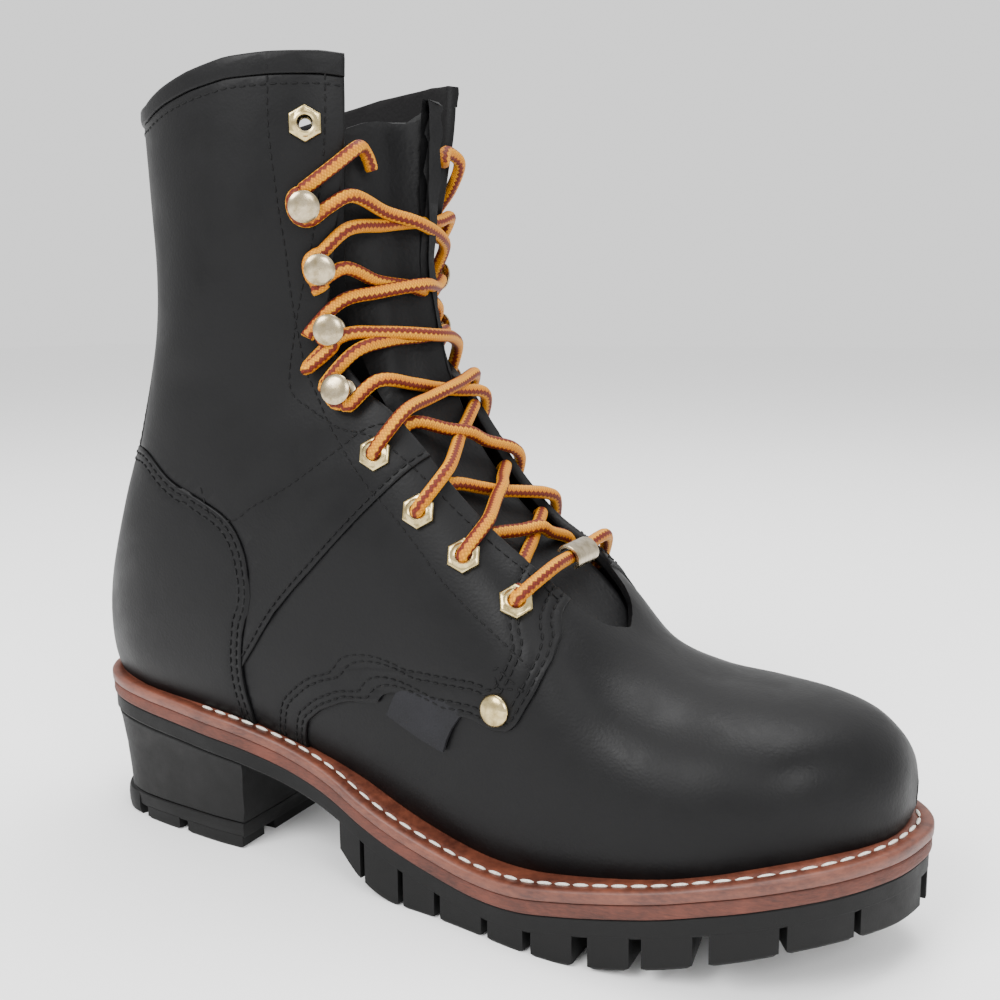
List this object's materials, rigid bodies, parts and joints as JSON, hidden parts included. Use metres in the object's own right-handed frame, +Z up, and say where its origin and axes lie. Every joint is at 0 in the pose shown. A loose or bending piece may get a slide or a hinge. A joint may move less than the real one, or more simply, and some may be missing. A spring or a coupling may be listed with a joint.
{
  "type": "steel toe boot",
  "caption": "Tall black leather lace-up work boot with a reinforced toe, stacked heel, lugged rubber outsole, stitched brown welt and speed hooks above eyelets.",
  "frame": {"origin": "on the floor under the middle of the heel, at the mount heel_rest", "axes": "+X along the foot to the toe, +Y to the inner (medial) side of a right foot, +Z up the shaft"},
  "size_m": [0.3197, 0.1141, 0.2828],
  "materials": {
    "black_leather": "oiled, low sheen",
    "black_rubber": "matte",
    "brown_midsole": "grainy matte",
    "brown_welt": "smooth, low sheen",
    "insole_leather": "matte",
    "pale_metal": "pale satin",
    "nickel_metal": "satin",
    "lace_cord": "woven"
  },
  "bodies": {
    "root": {"heel_lift": "black_rubber", "heel_block": "black_rubber", "outsole": "black_rubber", "midsole": "brown_midsole", "welt": "brown_welt", "insole": "insole_leather", "upper": "black_leather", "tongue": "black_leather", "counter_pocket": "black_leather", "collar_band": "black_leather", "backstay": "black_leather", "shaft_panel_outer": "black_leather", "shaft_panel_inner": "black_leather", "quarter_outer": "black_leather", "quarter_inner": "black_leather", "label_tab": "black_leather", "lace_keeper": "nickel_metal", "eyelet_outer_1": "pale_metal", "eyelet_outer_2": "pale_metal", "eyelet_outer_3": "pale_metal", "eyelet_outer_4": "pale_metal", "eyelet_outer_9": "pale_metal", "hook_outer_5": "nickel_metal", "hook_outer_6": "nickel_metal", "hook_outer_7": "nickel_metal", "hook_outer_8": "nickel_metal", "rivet_outer": "pale_metal", "lace_end_outer": "lace_cord", "eyelet_inner_1": "pale_metal", "eyelet_inner_2": "pale_metal", "eyelet_inner_3": "pale_metal", "eyelet_inner_4": "pale_metal", "eyelet_inner_9": "pale_metal", "hook_inner_5": "nickel_metal", "hook_inner_6": "nickel_metal", "hook_inner_7": "nickel_metal", "hook_inner_8": "nickel_metal", "rivet_inner": "pale_metal", "lace_end_inner": "lace_cord", "lace_crossing_1": "lace_cord", "lace_crossing_2": "lace_cord", "lace_crossing_3": "lace_cord", "lace_crossing_4": "lace_cord", "lace_crossing_5": "lace_cord", "lace_crossing_6": "lace_cord", "lace_crossing_7": "lace_cord", "lace_bar": "lace_cord"}
  },
  "joints": []
}
